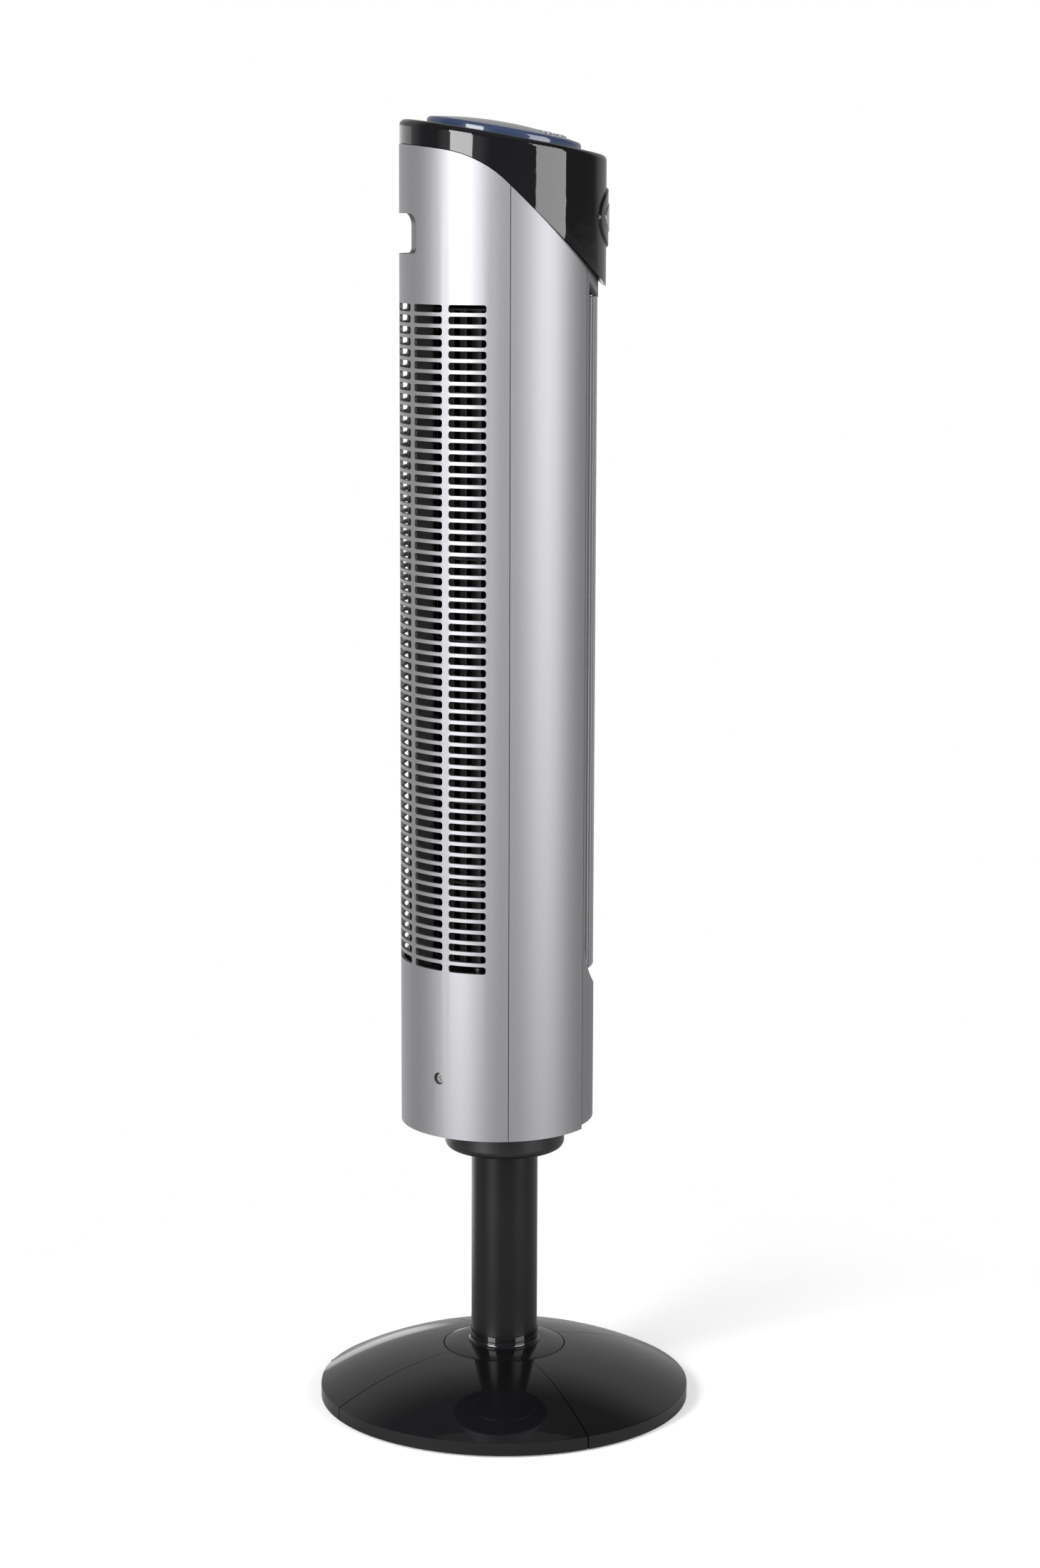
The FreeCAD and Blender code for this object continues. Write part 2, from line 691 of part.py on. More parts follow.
def front_shell():
    """The two silver side walls, joined behind the front panel at the bottom and the top."""
    inner = BODY_RADIUS - BODY_WALL
    edge = BODY_SEAM_AZIMUTH - math.degrees(SEAM / 2 / BODY_RADIUS)
    solids = []
    for side in (1, -1):
        start, end = sorted((side * PANEL_AZIMUTH, side * edge))
        solids.append(sector(inner, BODY_RADIUS, BODY_BOTTOM, TALL - 100, start, end, BODY_AXIS))
    web = sector(inner - WEB_THICKNESS, inner + 0.1, BODY_BOTTOM + PANEL_LIFT + 1, TALL - 100,
                 -PANEL_AZIMUTH - 4, PANEL_AZIMUTH + 4, BODY_AXIS)
    solid = solids[0].fuse([solids[1], web]).removeSplitter()
    return solid.cut(swoop_block(SEAM)).cut(outlet_block(OUTLET_LIP)).removeSplitter()


def outlet_block(grow):
    """The air outlet's outline, cut straight through the front."""
    front = BODY_SET_BACK - 100
    wide = OUTLET_HALF_WIDTH + grow

    def spot(x, z):
        return Vector(x, front, z)

    shoulder = OUTLET_SHOULDER
    corner = OUTLET_TOP_CORNER + grow
    edges = [
        arc(spot(-wide, shoulder), spot(0, OUTLET_BOTTOM - grow), spot(wide, shoulder)),
        line(spot(wide, shoulder), spot(wide, corner)),
        arc(spot(wide, corner), spot(0, OUTLET_TOP_MIDDLE + grow), spot(-wide, corner)),
        line(spot(-wide, corner), spot(-wide, shoulder)),
    ]
    return face_of(edges).extrude(Vector(0, 60, 0))


def front_panel():
    """The front panel over the front shell, with the air outlet in it."""
    inner = BODY_RADIUS - BODY_WALL + PANEL_STANDOFF
    edge = PANEL_AZIMUTH - math.degrees(SEAM / BODY_RADIUS)
    solid = sector(inner, BODY_RADIUS, BODY_BOTTOM + PANEL_LIFT, TALL - 100, -edge, edge, BODY_AXIS)
    return solid.cut(swoop_block(-PANEL_TUCK)).cut(outlet_block(0))


def outlet_grille():
    """Upright louvres with cross bars behind them, in a frame behind the outlet."""
    bottom = LOWER_BULKHEAD + BULKHEAD_THICKNESS + 1
    top = UPPER_BULKHEAD - 1
    blades = []
    for index in range(LOUVRE_COUNT):
        azimuth = (index - (LOUVRE_COUNT - 1) / 2) * LOUVRE_STEP
        blade = Part.makeBox(LOUVRE_THICKNESS, LOUVRE_OUTER - LOUVRE_INNER, top - bottom,
                             Vector(-LOUVRE_THICKNESS / 2, -LOUVRE_OUTER, bottom))
        blade.rotate(ORIGIN, UP, azimuth)
        blades.append(centred(blade, BODY_AXIS))
    reach = (LOUVRE_COUNT - 1) / 2 * LOUVRE_STEP + 0.8
    step = (top - bottom - 2.0) / (LOUVRE_BARS - 1)
    for index in range(LOUVRE_BARS):
        height = bottom + step * index
        blades.append(sector(LOUVRE_INNER + 0.6, LOUVRE_INNER + 3.6, height, height + 2.0, -reach, reach, BODY_AXIS))
    return blades[0].fuse(blades[1:]).cut(front_clearance()).removeSplitter()


def front_clearance():
    """The space of the front shell's web and of the front panel, which the louvres keep out of."""
    behind_web = BODY_RADIUS - BODY_WALL - WEB_THICKNESS - GAP
    web = tube(behind_web, BODY_RADIUS, BODY_BOTTOM, TALL, BODY_AXIS).cut(outlet_block(OUTLET_LIP - 0.4))
    behind_panel = BODY_RADIUS - BODY_WALL + PANEL_STANDOFF - GAP
    panel = tube(behind_panel, BODY_RADIUS + 1, BODY_BOTTOM, TALL, BODY_AXIS).cut(outlet_block(-GAP))
    return web.fuse(panel)


def handle_pocket():
    """The closed scoop behind the handle opening."""
    floor = BODY_RADIUS - HANDLE_DEPTH
    outer = handle_window(HANDLE_WALL, floor - HANDLE_WALL, BODY_RADIUS + 20)
    inner = handle_window(0, floor, BODY_RADIUS + 20)
    keep = disc(BODY_RADIUS - BODY_WALL - 0.1, 900, 1050, BODY_AXIS)
    return outer.cut(inner).common(keep)


def shell_screws():
    screws = []
    for side in (-1, 1):
        azimuth = side * SHELL_SCREW_AZIMUTH
        solid = screw(3.8, 2.4, 1.7, 16.0)
        solid.rotate(ORIGIN, Vector(1, 0, 0), 90)
        solid.rotate(ORIGIN, UP, azimuth)
        screws.append(centred(solid, polar(SHELL_SCREW_FLOOR + 2.5, azimuth, SHELL_SCREW_HEIGHT, BODY_AXIS)))
    return group(screws)


# ---------------------------------------------------------------- air path and drive

def bulkhead(bottom, hole):
    """A plate across the body, with a hole for the shaft and one for the wires."""
    plate = disc(BULKHEAD_RADIUS - 2.2, bottom, bottom + BULKHEAD_THICKNESS, BODY_AXIS)
    wires = Vector(0, BODY_SET_BACK + (WIRING_INNER + WIRING_OUTER) / 2, 0)
    plate = plate.cut(disc(WIRING_HOLE / 2, bottom - 1, bottom + 10, wires))
    return plate.cut(disc(hole, bottom - 1, bottom + 10, BODY_AXIS))


def lower_bulkhead():
    """The plate under the impeller, which the fan motor hangs from."""
    plate = bulkhead(LOWER_BULKHEAD, 9.0)
    for spot in around(3, MOUNT_CIRCLE, 0):
        plate = plate.cut(disc(2.1, 360, 380, spot + BODY_AXIS))
    return plate


def duct_wall(stations, bottom, top):
    """A curved air guide, through three (radius, azimuth) stations on its inner face."""
    inner = [polar(radius, azimuth, bottom, BODY_AXIS) for radius, azimuth in stations]
    outer = [polar(radius + DUCT_WALL, azimuth, bottom, BODY_AXIS) for radius, azimuth in stations]
    edges = [arc(*inner), line(inner[2], outer[2]), arc(*reversed(outer)), line(outer[0], inner[0])]
    return face_of(edges).extrude(Vector(0, 0, top - bottom))


def scroll_wall():
    """The guide round the impeller's pressure side, with a rounded lip where the air comes in."""
    bottom = LOWER_BULKHEAD + BULKHEAD_THICKNESS + 0.1
    top = UPPER_BULKHEAD - 0.1
    stations = ((67.0, 32.0), (61.0, 90.0), (55.5, 150.0))
    radius, azimuth = stations[2]
    lip = disc(SCROLL_LIP, bottom, top, polar(radius + SCROLL_LIP, azimuth + 1, 0, BODY_AXIS))
    return duct_wall(stations, bottom, top).fuse(lip).removeSplitter()


def vortex_tongue():
    stations = ((67.0, -32.0), (60.0, -42.0), (56.0, -56.0))
    return duct_wall(stations, LOWER_BULKHEAD + BULKHEAD_THICKNESS + 0.1, UPPER_BULKHEAD - 0.1)


def blade_outline():
    """One forward-curved blade's section, about the impeller's own axis."""
    lean = 14.0
    middle = (IMPELLER_INNER + IMPELLER_RADIUS) / 2 + 0.4
    inner = [polar(IMPELLER_INNER, 0, 0), polar(middle, 3.2, 0), polar(IMPELLER_RADIUS, lean, 0)]
    outer = [polar(IMPELLER_INNER, 1.7, 0), polar(middle, 4.9, 0), polar(IMPELLER_RADIUS, lean + 1.4, 0)]
    edges = [arc(*inner), line(inner[2], outer[2]), arc(*reversed(outer)), line(outer[0], inner[0])]
    return face_of(edges)


def impeller():
    """The crossflow rotor: rows of blades between rings, with a hub at each end."""
    pitch = (IMPELLER_TOP - IMPELLER_BOTTOM - RING_THICKNESS) / IMPELLER_SEGMENTS
    height = pitch - RING_THICKNESS
    outline = blade_outline()
    solids = []
    for row in range(IMPELLER_SEGMENTS + 1):
        base = IMPELLER_BOTTOM + pitch * row
        at_end = row in (0, IMPELLER_SEGMENTS)
        hole = SHAFT_RADIUS + 0.02 if at_end else IMPELLER_INNER - 2.0
        solids.append(tube(hole, IMPELLER_RADIUS + 0.5, base, base + RING_THICKNESS))
        if row < IMPELLER_SEGMENTS:
            for index in range(IMPELLER_BLADES):
                blade = outline.extrude(Vector(0, 0, height))
                blade.rotate(ORIGIN, UP, 360.0 * index / IMPELLER_BLADES)
                blade.translate(Vector(0, 0, base + RING_THICKNESS))
                solids.append(blade)
    solids.append(tube(SHAFT_RADIUS + 0.02, 10, IMPELLER_BOTTOM + RING_THICKNESS, IMPELLER_BOTTOM + 22))
    solid = solids[0].fuse(solids[1:]).removeSplitter()
    return centred(solid, BODY_AXIS)


def wiring_duct():
    """The closed channel that takes the wires up past the air path to the control board."""
    bottom = LOWER_BULKHEAD + BULKHEAD_THICKNESS + 0.05
    height = UPPER_BULKHEAD - 0.05 - bottom

    def block(inset):
        wide = 2 * (WIRING_HALF_WIDTH - inset)
        deep = WIRING_OUTER - WIRING_INNER - 2 * inset
        corner = Vector(inset - WIRING_HALF_WIDTH, BODY_SET_BACK + WIRING_INNER + inset, bottom)
        return Part.makeBox(wide, deep, height, corner)

    return block(0).cut(block(WIRING_WALL))


def drive_shaft():
    """The motor's shaft, up into the impeller's lower hub."""
    return disc(SHAFT_RADIUS, MOTOR_BOTTOM + 4, IMPELLER_BOTTOM + 20, BODY_AXIS)


def top_shaft():
    """The stub at the impeller's top, which turns in the upper bush."""
    return disc(SHAFT_RADIUS, IMPELLER_TOP - 20, UPPER_BULKHEAD + 9, BODY_AXIS)


def motor_rotor():
    return tube(SHAFT_RADIUS + 0.02, ROTOR_RADIUS, MOTOR_BOTTOM + 10, MOTOR_TOP - 10, BODY_AXIS)


def motor_stator():
    """The wound core round the rotor, with its two coils' ends above and below."""
    core = tube(ROTOR_RADIUS + 0.6, MOTOR_RADIUS - MOTOR_WALL - 0.2, MOTOR_BOTTOM + 16, MOTOR_TOP - 16, BODY_AXIS)
    winding = tube(ROTOR_RADIUS + 2, MOTOR_RADIUS - 6, MOTOR_BOTTOM + 8, MOTOR_TOP - 8, BODY_AXIS)
    return core.fuse(winding).removeSplitter()


def motor_case():
    """The fan motor's can, with bearings' bores in both ends."""
    solid = disc(MOTOR_RADIUS, MOTOR_BOTTOM, MOTOR_TOP, BODY_AXIS)
    solid = solid.cut(disc(MOTOR_RADIUS - MOTOR_WALL, MOTOR_BOTTOM + 3, MOTOR_TOP - 3, BODY_AXIS))
    for spot in around(3, MOUNT_CIRCLE, 0):
        solid = solid.cut(disc(2.1, MOTOR_TOP - 4, MOTOR_TOP + 1, spot + BODY_AXIS))
    return solid.cut(disc(SHAFT_RADIUS + RUNNING, MOTOR_BOTTOM + 2, MOTOR_TOP + 5, BODY_AXIS))


def motor_mounts():
    """Rubber bushes between the motor and the plate above it."""
    return group([tube(2.1, 6.0, MOTOR_TOP + 0.05, LOWER_BULKHEAD - 0.05, spot + BODY_AXIS)
                  for spot in around(3, MOUNT_CIRCLE, 0)])


def motor_screws():
    top = LOWER_BULKHEAD + BULKHEAD_THICKNESS + 2.5
    length = top - 2.4 - MOTOR_TOP + 2.6
    return group([centred(screw(4.0, 2.4, 2.0, length), spot + BODY_AXIS + Vector(0, 0, top))
                  for spot in around(3, MOUNT_CIRCLE, 0)])


def bearing_holder():
    """The rubber boot in the upper plate that holds the top bush."""
    bottom = UPPER_BULKHEAD - 3
    solid = disc(15.0, bottom, UPPER_BULKHEAD - 0.05, BODY_AXIS)
    solid = solid.fuse(disc(11.9, bottom, UPPER_BULKHEAD + 11, BODY_AXIS))
    return solid.cut(disc(8.0, bottom - 1, UPPER_BULKHEAD + 20, BODY_AXIS)).removeSplitter()


def top_bush():
    return tube(SHAFT_RADIUS + RUNNING, 7.95, UPPER_BULKHEAD - 2, UPPER_BULKHEAD + 10, BODY_AXIS)


# ---------------------------------------------------------------- top cap, dome and controls

def cap_section(shrink):
    """The cap's outline from above: round at the back, drawn out to a nose at the front."""
    side = BODY_RADIUS - shrink
    nose = CAP_NOSE - shrink
    back = Part.Arc(Vector(side, 0, 0), Vector(0, side, 0), Vector(-side, 0, 0)).toShape()
    oval = Part.Ellipse(Vector(0, -nose, 0), Vector(side, 0, 0), ORIGIN)
    start = oval.parameter(Vector(-side, 0, 0))
    end = oval.parameter(Vector(side, 0, 0))
    if end < start:
        end += 2 * math.pi
    front = oval.toShape(start, end)
    return Part.Face(Part.Wire([back, front]))


def cap_prism(shrink):
    """An upright prism on the cap's outline, about the body's axis."""
    solid = cap_section(shrink).extrude(Vector(0, 0, 250))
    return centred(solid, BODY_AXIS + Vector(0, 0, 880))


def tilted(shape):
    """Stands a shape drawn about the origin on the cap's sloping top."""
    shape.rotate(ORIGIN, Vector(1, 0, 0), CAP_TILT)
    return centred(shape, BODY_AXIS + Vector(0, 0, CAP_MID_HEIGHT))


def above_cap(drop):
    """Everything above the cap's sloping top, lowered by a drop."""
    return tilted(Part.makeBox(WIDE, WIDE, 200, Vector(-WIDE / 2, -WIDE / 2, -drop)))


def cap_body(shrink, drop):
    return cap_prism(shrink).cut(above_cap(drop))


def top_edges(shape):
    """The edges round the sloping top face."""
    highest = max(shape.Faces, key=lambda face: face.normalAt(0, 0).z * (face.Area > 1000))
    return highest.Edges


def badge_prism(grow):
    """The badge's oval outline, grown or shrunk, run through the nose."""
    half_width = BADGE_HALF_WIDTH + grow
    half_height = BADGE_HALF_HEIGHT + grow
    oval = Part.Ellipse(Vector(half_width, 0, 0), Vector(0, half_height, 0), ORIGIN)
    solid = face_of([oval.toShape()]).extrude(Vector(0, 0, 60))
    solid.rotate(ORIGIN, Vector(1, 0, 0), 90)
    return centred(solid, Vector(0, BODY_SET_BACK - 50, BADGE_HEIGHT))


def lens_cylinder(radius, bottom, top):
    """A cylinder square to the sloping top, on the dome's axis."""
    return tilted(Part.makeCylinder(radius, top - bottom, Vector(0, -LENS_FORWARD, bottom), UP))


def top_cap():
    """The glossy cap: a sloping top, a rounded edge and a lower edge that swoops down in front."""
    outer = cap_body(0, 0)
    outer = outer.makeFillet(CAP_ROUND, top_edges(outer))
    solid = outer.cut(cap_body(CAP_WALL, CAP_WALL)).common(swoop_block(0))
    solid = solid.cut(badge_prism(0.1))
    return solid.cut(lens_cylinder(FACE_RADIUS + 0.2, -20, 20))


def lens_dome(grow):
    """The dome's outer form, or its inner one with a negative growth."""
    centre = Vector(0, -LENS_FORWARD, LENS_CROWN - LENS_SPHERE)
    ball = Part.makeSphere(LENS_SPHERE + grow, centre)
    drum = Part.makeCylinder(LENS_RADIUS + grow, 40, Vector(0, -LENS_FORWARD, 0.1), UP)
    return drum.common(ball)


def button_spots():
    """Where the buttons stand, in the sloping top's own frame."""
    middle = (len(BUTTON_NAMES) - 1) / 2
    spots = []
    for index in range(len(BUTTON_NAMES)):
        spots.append(polar(BUTTON_CIRCLE, (index - middle) * BUTTON_STEP, 0, Vector(0, -LENS_FORWARD, 0)))
    return spots


def button_height():
    """The dome's height above the sloping top where the buttons stand."""
    return LENS_CROWN - LENS_SPHERE + math.sqrt(LENS_SPHERE ** 2 - BUTTON_CIRCLE ** 2)


def top_lens():
    """The see-through dome, with a hole for each button."""
    outer = lens_dome(0)
    rim = [edge for edge in outer.Edges if edge.BoundBox.ZMin > 2]
    outer = outer.makeFillet(LENS_ROUND, rim)
    solid = outer.cut(lens_dome(-LENS_WALL).common(Part.makeBox(WIDE, WIDE, 50, Vector(-WIDE / 2, -WIDE / 2, -1))))
    solid = solid.cut(Part.makeCylinder(LENS_RADIUS - LENS_WALL, 1, Vector(0, -LENS_FORWARD, 0), UP))
    for spot in button_spots():
        solid = solid.cut(Part.makeCylinder(BUTTON_RADIUS + 0.25, 40, spot, UP))
    return tilted(solid)


def display_face():
    """The dark plate under the dome, set into the cap's top."""
    centre = Vector(0, -LENS_FORWARD, 0)
    floor = centre - Vector(0, 0, CAP_WALL + 1.7)
    solid = Part.makeCylinder(FACE_RADIUS, CAP_WALL + 1.6, floor, UP)
    solid = solid.fuse(Part.makeCylinder(FACE_RADIUS + 3.0, 1.6, floor, UP))
    for x, y in ((42, 2), (-42, 2), (0, 36)):
        height = floor.z - BOARD_TOP + 0.1
        solid = solid.fuse(Part.makeCylinder(2.5, height, centre + Vector(x, y, BOARD_TOP + 0.05), UP))
    for spot in button_spots():
        solid = solid.cut(Part.makeCylinder(BUTTON_RADIUS - 1.3, 10, spot - Vector(0, 0, 5), UP))
    return tilted(solid.removeSplitter())


def display_window():
    """The lit display's rounded window, on the dark plate behind the buttons."""
    solid = Part.makeBox(44, 26, 0.8, Vector(-22, -LENS_FORWARD - 2, 0.0))
    upright = [edge for edge in solid.Edges if abs(edge.tangentAt(0).z) > 0.9]
    return tilted(solid.makeFillet(4.0, upright))


def control_board():
    """The circuit board under the top, with a switch under each button."""
    solid = Part.makeBox(96, 92, 1.6, Vector(-48, -52, BOARD_TOP - 1.6))
    corners = [edge for edge in solid.Edges if abs(edge.tangentAt(0).z) > 0.9]
    solid = solid.makeChamfer(14.0, corners)
    for spot in button_spots():
        solid = solid.fuse(Part.makeBox(6, 6, 3.5, spot + Vector(-3, -3, BOARD_TOP - 0.2)))
    return tilted(solid.removeSplitter())


def button(spot):
    """A round key with a thin stem down to its switch."""
    top = button_height() + 0.7
    key = Part.makeCylinder(BUTTON_RADIUS, top - 1.2, spot + Vector(0, 0, 1.2), UP)
    crown = [edge for edge in key.Edges if edge.BoundBox.ZMin > top - 0.5]
    key = key.makeFillet(0.7, crown)
    stem_foot = BOARD_TOP + 3.3 + BUTTON_TRAVEL + 0.2
    stem = Part.makeCylinder(BUTTON_RADIUS - 1.8, 1.3 - stem_foot, spot + Vector(0, 0, stem_foot), UP)
    return tilted(key.fuse(stem).removeSplitter())


def badge_ring():
    """The glossy oval rim, which follows the nose's curve and stands a little proud of it."""
    outside = badge_prism(0).common(cap_prism(-BADGE_RING_PROUD))
    front = [edge for edge in outside.Edges if edge.BoundBox.YMax < BODY_SET_BACK - 60]
    outside = outside.makeChamfer(BADGE_RING_PROUD * 0.8, front)
    return outside.cut(badge_prism(-BADGE_RING_WIDTH)).cut(cap_prism(CAP_WALL))


def badge_disc():
    """The plain plate inside the rim, with a flange behind the cap's wall."""
    plate = badge_prism(-BADGE_RING_WIDTH - 0.1).common(cap_prism(-BADGE_PLATE_PROUD))
    plate = plate.cut(cap_prism(CAP_WALL + 1.9))
    flange = badge_prism(4.0).common(cap_prism(CAP_WALL + 0.1)).cut(cap_prism(CAP_WALL + 2.0))
    return plate.fuse(flange).removeSplitter()


def save_base():
    base_sectors()
    save("base_centre_disc", base_disc())
    save("pole_foot_ring", foot_ring())
    save("base_bottom_plate", bottom_plate())
    save("base_ballast", ballast())
    save("rubber_feet", feet())
    save("base_screws", base_screws())
    save("cord_gland", cord_gland())


def save_swivel():
    save("pole", pole())
    save("pole_bolts", pole_bolts())
    save("spindle_hub", spindle())
    save("thrust_washer", tube(SPINDLE_RADIUS + 0.4, THRUST_RADIUS, THRUST_BOTTOM, THRUST_TOP))
    save("fixed_gear", fixed_gear())
    save("retaining_ring", retaining_ring())
    save("swivel_collar", collar())
    save("tower_floor", tower_floor())
    save("drive_pinion", drive_pinion())
    save("swing_bracket", swing_bracket())
    save("swing_motor", swing_motor())
    save("swing_motor_screws", swing_screws())


def save_body():
    save("rear_shell", rear_shell())
    save("front_shell", front_shell())
    save("front_panel", front_panel())
    save("outlet_grille", outlet_grille())
    save("handle_pocket", handle_pocket())
    save("shell_screws", shell_screws())


def save_air_path():
    save("lower_bulkhead", lower_bulkhead())
    save("upper_bulkhead", bulkhead(UPPER_BULKHEAD, 12.0))
    save("scroll_wall", scroll_wall())
    save("vortex_tongue", vortex_tongue())
    save("wiring_duct", wiring_duct())
    save("impeller", impeller())
    save("drive_shaft", drive_shaft())
    save("top_shaft", top_shaft())
    save("motor_rotor", motor_rotor())
    save("motor_stator", motor_stator())
    save("motor_case", motor_case())
    save("motor_mounts", motor_mounts())
    save("motor_screws", motor_screws())
    save("bearing_holder", bearing_holder())
    save("top_bush", top_bush())


def save_top():
    save("top_cap", top_cap())
    save("top_lens", top_lens())
    save("display_face", display_face())
    save("display_window", display_window())
    save("control_board", control_board())
    save("badge_ring", badge_ring())
    save("badge_disc", badge_disc())
    for name, spot in zip(BUTTON_NAMES, button_spots()):
        save(name + "_button", button(spot))


os.makedirs("parts", exist_ok=True)
save_base()
save_swivel()
save_body()
save_air_path()
save_top()
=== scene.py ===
import math

import bpy
from mathutils import Matrix, Vector

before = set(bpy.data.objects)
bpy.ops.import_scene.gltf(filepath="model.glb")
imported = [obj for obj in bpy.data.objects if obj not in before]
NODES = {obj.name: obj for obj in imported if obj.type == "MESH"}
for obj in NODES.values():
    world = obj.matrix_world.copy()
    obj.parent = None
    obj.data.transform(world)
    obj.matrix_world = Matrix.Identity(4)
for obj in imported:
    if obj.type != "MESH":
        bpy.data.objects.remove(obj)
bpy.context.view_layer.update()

# Metres and radians. An azimuth, seen from above, is counted from the front (-Y) towards +X.
CAMERA_AZIMUTH = math.radians(-94.4)
CAMERA_DISTANCE = 2.7738
CAMERA_HEIGHT = 0.9973
CAMERA_SIDE = 0.0120
CAMERA_TILT = 0.1684
CAMERA_ROLL = 0.0031
CAMERA_LENS = 78.22
CLIP_END = 60

# Lamps: brightness is that of the lamp's face, where white is 1.
LAMP_DISTANCE = 2.6
LAMP_HEIGHT = 1.15
LAMP_AIM = 0.75
LAMP_TALL = 2.5
LEFT_LAMP = {"turn": -43, "width": 1.25, "brightness": 15.0}
RIGHT_LAMP = {"turn": 55, "width": 1.6, "brightness": 8.0}
TOP_LAMP_DISTANCE = 0.3
TOP_LAMP_HEIGHT = 3.2
TOP_LAMP_SIZE = 2.6
TOP_LAMP_BRIGHTNESS = 0.2

# Surroundings in reflections: one level below the horizon, a dull one above it, and walls of light.
# A wall's turn is in degrees from straight behind the object, towards the image's right. Its edge gives the
# cosines from its middle where it starts and where it is full, and its top the heights of a direction where
# it starts to fade and where it is gone.
HORIZON = (-0.03, 0.0)
BELOW = 0.5
DULL = 0.10
WALLS = (
    {"turn": -10, "edge": (0.20, 0.62), "top": (0.55, 0.90), "brightness": 0.5},
    {"turn": -32, "edge": (0.86, 0.90), "top": (0.03, 0.12), "brightness": 1.4},
    {"turn": -137, "edge": (0.80, 0.98), "top": (0.55, 0.90), "brightness": 0.9},
)

# Floor: half the side of a sheet of paper, which fades away between two distances from the object's axis.
FLOOR_SIDE = 0.8
FLOOR_FADE = (0.19, 0.62)
FLOOR_GLOW = 0.24
FLOOR_WHITE = (0.88, 0.88, 0.88)
FLOOR_IN_REFLECTIONS = (0.42, 0.42, 0.42)

# Noise in materials: the height of fine bumps, the part of the noise's range that is used, and its detail.
BUMP_HEIGHT = 0.0002
NOISE_LOW = 0.3
NOISE_HIGH = 0.7
DRIFT_DETAIL = 4.0
BUMP_DETAIL = 2.0

# A mix node's sockets for its factor and its two colours, whose names it repeats for each kind of data.
MIX_FACTOR = 0
MIX_FIRST = 6
MIX_SECOND = 7
MIX_RESULT = 2

TOWARDS = Vector((math.sin(CAMERA_AZIMUTH), -math.cos(CAMERA_AZIMUTH), 0))
RIGHT = Vector((math.cos(CAMERA_AZIMUTH), math.sin(CAMERA_AZIMUTH), 0))
UP = Vector((0, 0, 1))


# ---------------------------------------------------------------- camera and lamps

def make_camera():
    data = bpy.data.cameras.new("camera")
    data.lens = CAMERA_LENS
    data.clip_end = CLIP_END
    camera = bpy.data.objects.new("camera", data)
    bpy.context.scene.collection.objects.link(camera)
    forward = -TOWARDS * math.cos(CAMERA_TILT) - UP * math.sin(CAMERA_TILT)
    up = UP * math.cos(CAMERA_TILT) - TOWARDS * math.sin(CAMERA_TILT)
    side = RIGHT * math.cos(CAMERA_ROLL) + up * math.sin(CAMERA_ROLL)
    top = up * math.cos(CAMERA_ROLL) - RIGHT * math.sin(CAMERA_ROLL)
    place = TOWARDS * CAMERA_DISTANCE + RIGHT * CAMERA_SIDE + UP * CAMERA_HEIGHT
    turn = Matrix((side, top, -forward)).transposed().to_4x4()
    camera.matrix_world = Matrix.Translation(place) @ turn
    bpy.context.scene.camera = camera


def from_camera(turn, distance, height):
    """A point round the object: turn is in degrees from the camera's side, towards the image's right."""
    angle = math.radians(turn)
    flat = TOWARDS * math.cos(angle) + RIGHT * math.sin(angle)
    return flat * distance + UP * height


def softbox(name, place, aim_height, width, tall, brightness):
    """A rectangular lamp that faces a point on the object's axis."""
    data = bpy.data.lights.new(name, "AREA")
    data.shape = "RECTANGLE"
    data.size = width
    data.size_y = tall
    data.energy = brightness * math.pi * width * tall
    lamp = bpy.data.objects.new(name, data)
    bpy.context.scene.collection.objects.link(lamp)
    lamp.location = place
    lamp.rotation_euler = (UP * aim_height - place).to_track_quat("-Z", "Y").to_euler()


def make_lamps():
    for name, lamp in (("left_box", LEFT_LAMP), ("right_box", RIGHT_LAMP)):
        place = from_camera(lamp["turn"], LAMP_DISTANCE, LAMP_HEIGHT)
        softbox(name, place, LAMP_AIM, lamp["width"], LAMP_TALL, lamp["brightness"])
    above = from_camera(0, TOP_LAMP_DISTANCE, TOP_LAMP_HEIGHT)
    softbox("top_box", above, 0.0, TOP_LAMP_SIZE, TOP_LAMP_SIZE, TOP_LAMP_BRIGHTNESS)


# ---------------------------------------------------------------- node helpers

def smooth(tree, value, start, end, low, high):
    """A smooth step of a value between two levels."""
    reach = tree.nodes.new("ShaderNodeMapRange")
    reach.interpolation_type = "SMOOTHSTEP"
    reach.inputs["From Min"].default_value = start
    reach.inputs["From Max"].default_value = end
    reach.inputs["To Min"].default_value = low
    reach.inputs["To Max"].default_value = high
    tree.links.new(value, reach.inputs["Value"])
    return reach.outputs["Result"]


def spread(tree, value, low, high):
    """A noise value, stretched to run between two levels."""
    reach = tree.nodes.new("ShaderNodeMapRange")
    reach.inputs["From Min"].default_value = NOISE_LOW
    reach.inputs["From Max"].default_value = NOISE_HIGH
    reach.inputs["To Min"].default_value = low
    reach.inputs["To Max"].default_value = high
    tree.links.new(value, reach.inputs["Value"])
    return reach.outputs["Result"]


def combine(tree, operation, first, second):
    node = tree.nodes.new("ShaderNodeMath")
    node.operation = operation
    tree.links.new(first, node.inputs[0])
    tree.links.new(second, node.inputs[1])
    return node.outputs["Value"]


def ramp_mix(tree, factor, dark, light):
    """A colour that goes from dark to light with a factor."""
    mix = tree.nodes.new("ShaderNodeMix")
    mix.data_type = "RGBA"
    mix.inputs[MIX_FIRST].default_value = (*dark, 1)
    mix.inputs[MIX_SECOND].default_value = (*light, 1)
    tree.links.new(factor, mix.inputs[MIX_FACTOR])
    return mix.outputs[MIX_RESULT]


